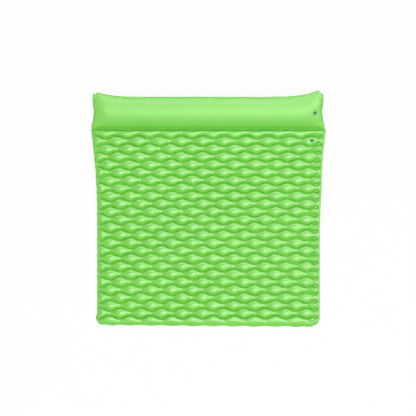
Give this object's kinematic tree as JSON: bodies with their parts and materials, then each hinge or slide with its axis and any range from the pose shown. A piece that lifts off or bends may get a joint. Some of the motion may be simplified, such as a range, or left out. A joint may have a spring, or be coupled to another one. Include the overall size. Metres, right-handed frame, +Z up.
{
  "type": "inflatable double air mat",
  "caption": "Square inflatable vinyl air mat with rows of welded air chambers, a fold-up pillow roll along one edge and a push-in valve on each body.",
  "frame": {"origin": "under the middle of the bounding box, on the floor", "axes": "+X across the mat, +Y from its foot to the pillow, +Z up"},
  "size_m": [1.828, 1.8261, 0.1445],
  "materials": {
    "green_vinyl": "soft glossy PVC film, welded",
    "valve_vinyl": "translucent blue-green moulded PVC"
  },
  "bodies": {
    "mat": {"mat_top_sheet": "green_vinyl", "mat_bottom_sheet": "green_vinyl", "mat_fold_strip": "green_vinyl", "mat_valve_base": "valve_vinyl"},
    "pillow": {"pillow_top_sheet": "green_vinyl", "pillow_bottom_sheet": "green_vinyl", "pillow_fold_strip": "green_vinyl", "pillow_valve_base": "valve_vinyl"},
    "mat_stem": {"mat_valve_stem": "valve_vinyl", "mat_valve_tether": "valve_vinyl"},
    "mat_plug": {"mat_valve_plug": "valve_vinyl"},
    "mat_flap": {"mat_valve_flap": "valve_vinyl"},
    "pillow_stem": {"pillow_valve_stem": "valve_vinyl", "pillow_valve_tether": "valve_vinyl"},
    "pillow_plug": {"pillow_valve_plug": "valve_vinyl"},
    "pillow_flap": {"pillow_valve_flap": "valve_vinyl"}
  },
  "joints": [
    {"name": "pillow_fold", "type": "hinge", "parent": "mat", "child": "pillow", "pos_m": [0, 0.61997, 0.0265], "axis": [1, 0, 0], "range_deg": [-70, 60]},
    {"name": "mat_stem_pull", "type": "slide", "parent": "mat", "child": "mat_stem", "axis": [0, 0, 1], "range_m": [0, 0.011]},
    {"name": "mat_plug_pull", "type": "slide", "parent": "mat_stem", "child": "mat_plug", "axis": [0, 0, 1], "range_m": [0, 0.012], "deforming": ["mat_valve_tether"]},
    {"name": "mat_flap_open", "type": "hinge", "parent": "mat_stem", "child": "mat_flap", "pos_m": [0.8021, 0.52943, 0.028], "axis": [0, 1, 0], "range_deg": [0, 60], "stiffness_Nm_per_rad": 0.0002},
    {"name": "pillow_stem_pull", "type": "slide", "parent": "pillow", "child": "pillow_stem", "axis": [0.3734, -0.3148, 0.8727], "range_m": [0, 0.011]},
    {"name": "pillow_plug_pull", "type": "slide", "parent": "pillow_stem", "child": "pillow_plug", "axis": [0.3734, -0.3148, 0.8727], "range_m": [0, 0.012], "deforming": ["pillow_valve_tether"]},
    {"name": "pillow_flap_open", "type": "hinge", "parent": "pillow_stem", "child": "pillow_flap", "pos_m": [0.81397, 0.74603, 0.10737], "axis": [0.0001, 0.9407, 0.3393], "range_deg": [0, 60], "stiffness_Nm_per_rad": 0.0002}
  ]
}
